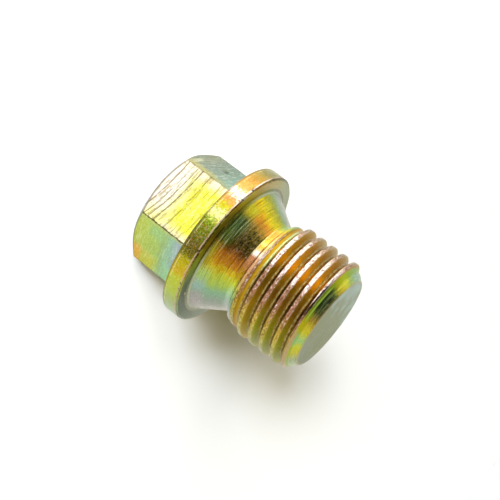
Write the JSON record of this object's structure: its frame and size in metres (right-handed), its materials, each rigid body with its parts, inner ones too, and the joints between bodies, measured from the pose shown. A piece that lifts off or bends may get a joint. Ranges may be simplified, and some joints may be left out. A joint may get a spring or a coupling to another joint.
{
  "type": "oil drain plug",
  "caption": "Threaded drain plug for an engine oil sump: hexagon head, round flange, tapered neck and a short right-hand thread with a plain end",
  "frame": {"origin": "centre of the hexagon head's end face, on the plug's axis; the plug stands on its head", "axes": "+Z along the plug's axis from the head towards the threaded end, +X through a corner of the hexagon, +Y through the middle of a flat"},
  "size_m": [0.0192, 0.0192, 0.0228],
  "materials": {
    "plated_steel": "yellow chromated zinc plate, iridescent, semi-bright"
  },
  "bodies": {
    "root": {"plug": "plated_steel"}
  },
  "joints": []
}
